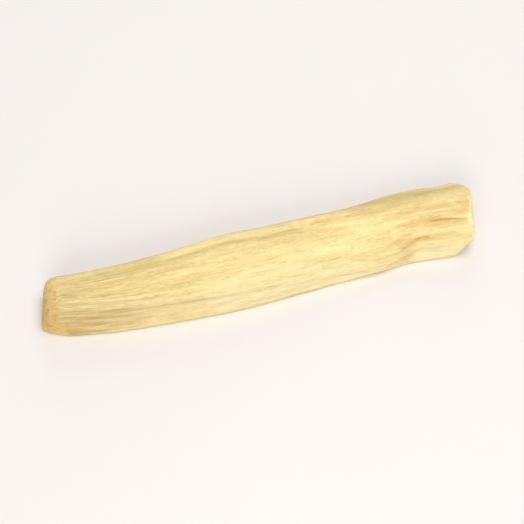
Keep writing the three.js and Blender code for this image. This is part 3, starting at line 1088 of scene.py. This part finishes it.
def split_wood_material(grain_group, end_group, wear_shade_group):
    """The stick's own wood: split faces along the grain, sawn ends, worn arrises with a painted highlight,
    stains, and painted light and shade laid into its colour.
    """
    material, tree, shader = new_material("palo_santo_wood")
    grain_place = add_node(tree, "ShaderNodeAttribute", attribute_name="grain_place").outputs["Vector"]
    grain = add_node(tree, "ShaderNodeGroup", {"Place": grain_place}, node_tree=grain_group).outputs
    end = add_node(tree, "ShaderNodeGroup", node_tree=end_group).outputs
    wear_shade = add_node(tree, "ShaderNodeGroup", node_tree=wear_shade_group).outputs

    end_colour = tinted(tree, END_CREAM, remap(tree, grain["Rings"], 0.0, 1.0, 0.0, 0.45), STRAW)
    over_end = [(end["Patches"], 0.4, LIME_STRAW), (grain["Pores"], 0.4, TAN)]
    end_colour = layered(tree, end_colour, over_end)
    colour = layered(tree, wood_colour(tree, grain), [(end["Mask"], 0.9, end_colour)])
    bundles = times(tree, plus(tree, grain["Streaks"], grain["Fibres"]), 0.5)
    patchy = remap(tree, bundles, 0.38, 0.6, 0.45, 1.0)
    for name, tint, strength in TINT_COLOURS:
        factor = times(tree, times(tree, mask_of(tree, name), strength), patchy)
        colour = tinted(tree, colour, factor, tint)
    end_specks = times(tree, end["Specks"], end["Mask"])
    # Darker in the low places as painted shade and dust, and paler along the worn edges, partly as a painted
    # highlight
    marks = [(end_specks, 0.5, SPECK_BROWN), (wear_shade["Shade And Dust"], 0.25, TAN), (wear_shade["Rubbed Highlight"], 0.3, RUBBED_HIGHLIGHT_WHITE)]
    colour = layered(tree, colour, marks)
    tree.links.new(colour, shader.inputs["Base Color"])

    roughness = remap(tree, grain["Fibres"], 0.3, 0.7, 0.56, 0.76)
    rough_end = times(tree, end["Mask"], 0.16)
    tree.links.new(plus(tree, roughness, rough_end), shader.inputs["Roughness"])

    off_end = calculate(tree, "SUBTRACT", 1.0, end["Mask"])
    height = 0.0
    for pattern, amount in (
        (grain["Fibres"], -0.12),
        (grain["Threads"], -0.05),
        (grain["Pores"], -0.05),
        (times(tree, grain["Lines"], off_end), -0.04),
        (times(tree, end["Marks"], end["Mask"]), 0.03),
        (end_specks, -0.08),
    ):
        height = calculate(tree, "MULTIPLY_ADD", pattern, amount, height)
    bump = add_node(tree, "ShaderNodeBump", {"Height": height, "Distance": MM, "Strength": 1.0})
    tree.links.new(bump.outputs[0], shader.inputs["Normal"])
    shader.inputs["Specular IOR Level"].default_value = 0.4
    return material


def fibre_material(grain_group):
    """The loose fibres: dry pale wood, a little uneven along each fibre."""
    material, tree, shader = new_material("dry_fibre")
    grain = add_node(tree, "ShaderNodeGroup", {"Place": place_in_mm(tree)}, node_tree=grain_group).outputs
    colour = tinted(tree, PALE_CREAM, remap(tree, grain["Streaks"], 0.35, 0.65, 0.0, 0.7), CREAM)
    colour = tinted(tree, colour, remap(tree, grain["Fibres"], 0.5, 0.7, 0.0, 0.4), STRAW)
    tree.links.new(colour, shader.inputs["Base Color"])
    tree.links.new(remap(tree, grain["Fibres"], 0.3, 0.7, 0.6, 0.8), shader.inputs["Roughness"])
    shader.inputs["Specular IOR Level"].default_value = 0.3
    return material


# The photograph's view: where the camera is, what it looks at and how it is turned about its own axis
CAMERA_PLACE = (-66.2, -186.8, 317.6)
CAMERA_TARGET = (0, 0, 4)
CAMERA_ROLL = math.radians(3.86)
CAMERA_LENS = 112
SENSOR_WIDTH = 36


def placed_object(name, data):
    """A new object in the scene."""
    made = bpy.data.objects.new(name, data)
    bpy.context.scene.collection.objects.link(made)
    return made


def facing(direction):
    """The turn of a camera or a light that looks in a direction."""
    return direction.to_track_quat("-Z", "Y").to_matrix().to_4x4()


def add_camera():
    """The camera at the photograph's viewing angle."""
    data = bpy.data.cameras.new("camera")
    data.lens = CAMERA_LENS
    data.sensor_width = SENSOR_WIDTH
    data.clip_start = 0.01
    camera = placed_object("camera", data)
    place, target = Vector(CAMERA_PLACE) * MM, Vector(CAMERA_TARGET) * MM
    look = (target - place).normalized()
    roll = Matrix.Rotation(-CAMERA_ROLL, 4, look)
    camera.matrix_world = Matrix.Translation(place) @ roll @ facing(look)
    bpy.context.scene.camera = camera


# Soft lights as name, place and what they face in millimetres, size, watts and colour
LIGHTS = [
    ("overhead_light", (120, -40, 620), (0, 0, 0), 360, 2.04, (1.0, 0.985, 0.955)),
    ("front_light", (-220, -560, 340), (0, 0, 0), 420, 2.3, (1.0, 0.97, 0.94)),
    ("back_light", (160, 560, 300), (0, 0, 0), 420, 0.9, (1.0, 0.98, 0.96)),
]
ROOM_LIGHT = 0.44
FLOOR_SIDE = 3000
FLOOR_COLOUR = (0.80, 0.78, 0.775, 1)


def add_lights():
    """Plain soft studio light: a large light overhead, one in front, a weak one behind, and a pale room."""
    for name, place, target, size, watts, colour in LIGHTS:
        data = bpy.data.lights.new(name, "AREA")
        data.size = size * MM
        data.energy = watts
        data.color = colour
        light = placed_object(name, data)
        place, target = Vector(place) * MM, Vector(target) * MM
        light.matrix_world = Matrix.Translation(place) @ facing(target - place)
    world = bpy.data.worlds.new("pale_room")
    world.use_nodes = True
    background = world.node_tree.nodes["Background"]
    background.inputs["Color"].default_value = (1.0, 0.985, 0.97, 1)
    background.inputs["Strength"].default_value = ROOM_LIGHT
    bpy.context.scene.world = world
    bpy.context.scene.view_settings.view_transform = "Standard"


def add_floor():
    """The pale floor that the stick lies on."""
    half = FLOOR_SIDE / 2 * MM
    corners = [(-half, -half, 0), (half, -half, 0), (half, half, 0), (-half, half, 0)]
    mesh = bpy.data.meshes.new("floor")
    mesh.from_pydata(corners, [], [(0, 1, 2, 3)])
    material, tree, shader = new_material("pale_floor")
    mottle = noise(tree, place_in_mm(tree), 0.02, 3.0)
    colour = tinted(tree, FLOOR_COLOUR, remap(tree, mottle, 0.3, 0.7, 0.0, 0.06), (0.7, 0.69, 0.69, 1))
    tree.links.new(colour, shader.inputs["Base Color"])
    shader.inputs["Roughness"].default_value = 0.6
    mesh.materials.append(material)
    floor = placed_object("floor", mesh)


# The loose fibres, in millimetres and degrees: how many to a square centimetre where the mask is full, how
# long they are, how far they lift from the surface, and whether they all point out of the sawn ends
SPLINTERS = {
    "mask": "splintered",
    "dense": 45,
    "length": (0.9, 3.6),
    "lift": (0.5, 3),
    "outward": False,
    "seed": 5,
}
FRAYS = {
    "mask": "frayed",
    "dense": 260,
    "length": (0.4, 0.9),
    "lift": (-4, 16),
    "outward": True,
    "seed": 8,
}

# A fibre's radius and how far its tip bends up, for its length, how thick the tip is for the root, and how
# finely a fibre is parted
FIBRE_RADIUS = 0.02
FIBRE_BEND = 0.03
TIP_SHARE = 0.3
FIBRE_STEPS = 4
FIBRE_SIDES = 3


def random_value(tree, low, high, seed):
    """A random number between two values or sockets for each point."""
    return add_node(tree, "FunctionNodeRandomValue", {2: low, 3: high, "Seed": seed}).outputs[1]


def one_fibre(tree):
    """A fibre 1 long along X, thinner and bent up at its tip."""
    bend = {"Resolution": FIBRE_STEPS, "Start": (0, 0, 0), "Middle": (0.5, 0, 0), "End": (1, 0, FIBRE_BEND)}
    spine = add_node(tree, "GeometryNodeCurveQuadraticBezier", bend).outputs[0]
    along = add_node(tree, "GeometryNodeSplineParameter").outputs["Factor"]
    taper = remap(tree, along, 0.2, 1.0, 1.0, TIP_SHARE)
    circle = {"Resolution": FIBRE_SIDES, "Radius": FIBRE_RADIUS}
    section = add_node(tree, "GeometryNodeCurvePrimitiveCircle", circle).outputs[0]
    swept = {"Curve": spine, "Profile Curve": section, "Scale": taper, "Fill Caps": True}
    return add_node(tree, "GeometryNodeCurveToMesh", swept).outputs[0]


def loose_fibre_tree():
    """Geometry nodes that scatter thin tapered fibres over a surface, along X and lifted at their tips."""
    tree = bpy.data.node_groups.new("loose_fibres", "GeometryNodeTree")
    tree.interface.new_socket("Geometry", in_out="OUTPUT", socket_type="NodeSocketGeometry")
    for label, kind in (
        ("Geometry", "Geometry"),
        ("Mask", "String"),
        ("Density", "Float"),
        ("Shortest", "Float"),
        ("Longest", "Float"),
        ("Least Lift", "Float"),
        ("Most Lift", "Float"),
        ("Outward", "Bool"),
        ("Seed", "Int"),
        ("Material", "Material"),
    ):
        tree.interface.new_socket(label, in_out="INPUT", socket_type="NodeSocket" + kind)
    given = add_node(tree, "NodeGroupInput").outputs
    result = add_node(tree, "NodeGroupOutput")

    mask = add_node(tree, "GeometryNodeInputNamedAttribute", {"Name": given["Mask"]}).outputs["Attribute"]
    density = times(tree, mask, given["Density"])
    spread = {"Mesh": given["Geometry"], "Density": density, "Seed": given["Seed"]}
    scattered = add_node(tree, "GeometryNodeDistributePointsOnFaces", spread).outputs

    even_chance = {"Probability": 0.5, "Seed": given["Seed"]}
    side = add_node(tree, "FunctionNodeRandomValue", even_chance, data_type="BOOLEAN").outputs[3]
    position = add_node(tree, "GeometryNodeInputPosition").outputs[0]
    x = add_node(tree, "ShaderNodeSeparateXYZ", {0: position}).outputs[0]
    on_left = calculate(tree, "LESS_THAN", x, 0.0)
    ways = {"Switch": given["Outward"], "False": side, "True": on_left}
    backwards = add_node(tree, "GeometryNodeSwitch", ways, input_type="FLOAT").outputs[0]
    lift = random_value(tree, given["Least Lift"], given["Most Lift"], 11)
    sway = random_value(tree, -0.1, 0.1, 12)
    turned = calculate(tree, "MULTIPLY_ADD", backwards, math.pi, sway)
    roll = random_value(tree, -math.pi, math.pi, 13)
    tilt = as_vector(tree, roll, times(tree, lift, -1.0), turned)
    upright = add_node(
        tree, "FunctionNodeAlignRotationToVector", {"Vector": scattered["Normal"]}, axis="Z", pivot_axis="X"
    ).outputs[0]
    turn = add_node(tree, "FunctionNodeEulerToRotation", {"Euler": tilt}).outputs[0]
    rotation = add_node(
        tree, "FunctionNodeRotateRotation", {"Rotation": upright, "Rotate By": turn}, rotation_space="LOCAL"
    ).outputs[0]
    size = random_value(tree, given["Shortest"], given["Longest"], 14)
    copies = {"Points": scattered["Points"], "Instance": one_fibre(tree), "Rotation": rotation, "Scale": size}
    placed = add_node(tree, "GeometryNodeInstanceOnPoints", copies).outputs[0]
    real = add_node(tree, "GeometryNodeRealizeInstances", {"Geometry": placed}).outputs[0]
    finished = add_node(tree, "GeometryNodeSetMaterial", {"Geometry": real, "Material": given["Material"]})
    tree.links.new(finished.outputs[0], result.inputs[0])
    return tree


def add_loose_fibres(name, kind, tree, surface, material):
    """One piece with all the loose fibres of a kind, scattered over the stick's surface."""
    settings = {
        "Mask": kind["mask"],
        "Density": kind["dense"] / CENTIMETRE**2,
        "Shortest": kind["length"][0] * MM,
        "Longest": kind["length"][1] * MM,
        "Least Lift": math.radians(kind["lift"][0]),
        "Most Lift": math.radians(kind["lift"][1]),
        "Outward": kind["outward"],
        "Seed": kind["seed"],
        "Material": material,
    }
    piece = placed_object(name, surface.copy())
    modifier = piece.modifiers.new(name, "NODES")
    modifier.node_group = tree
    for socket in tree.interface.items_tree:
        if socket.in_out == "INPUT" and socket.name in settings:
            modifier[socket.identifier] = settings[socket.name]
    evaluated = piece.evaluated_get(bpy.context.evaluated_depsgraph_get())
    mesh = bpy.data.meshes.new_from_object(evaluated)
    mesh.name = name
    piece.modifiers.remove(modifier)
    piece.data = mesh
    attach(piece, "root")


def add_stick(material):
    """The stick's fine surface, in place of its plain solid."""
    mesh = stick_mesh()
    mesh.materials.append(material)
    stick = placed_object("split_stick", mesh)
    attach(stick, "root")
    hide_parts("stick")
    return stick


add_camera()
add_lights()
add_floor()
grain_group = wood_grain_group()
wood = split_wood_material(grain_group, sawn_end_group(), wear_and_shade_group())
fibre_wood = fibre_material(grain_group)
stick = add_stick(wood)
fibre_tree = loose_fibre_tree()
add_loose_fibres("split_fibres", SPLINTERS, fibre_tree, stick.data, fibre_wood)
add_loose_fibres("sawn_end_fibres", FRAYS, fibre_tree, stick.data, fibre_wood)
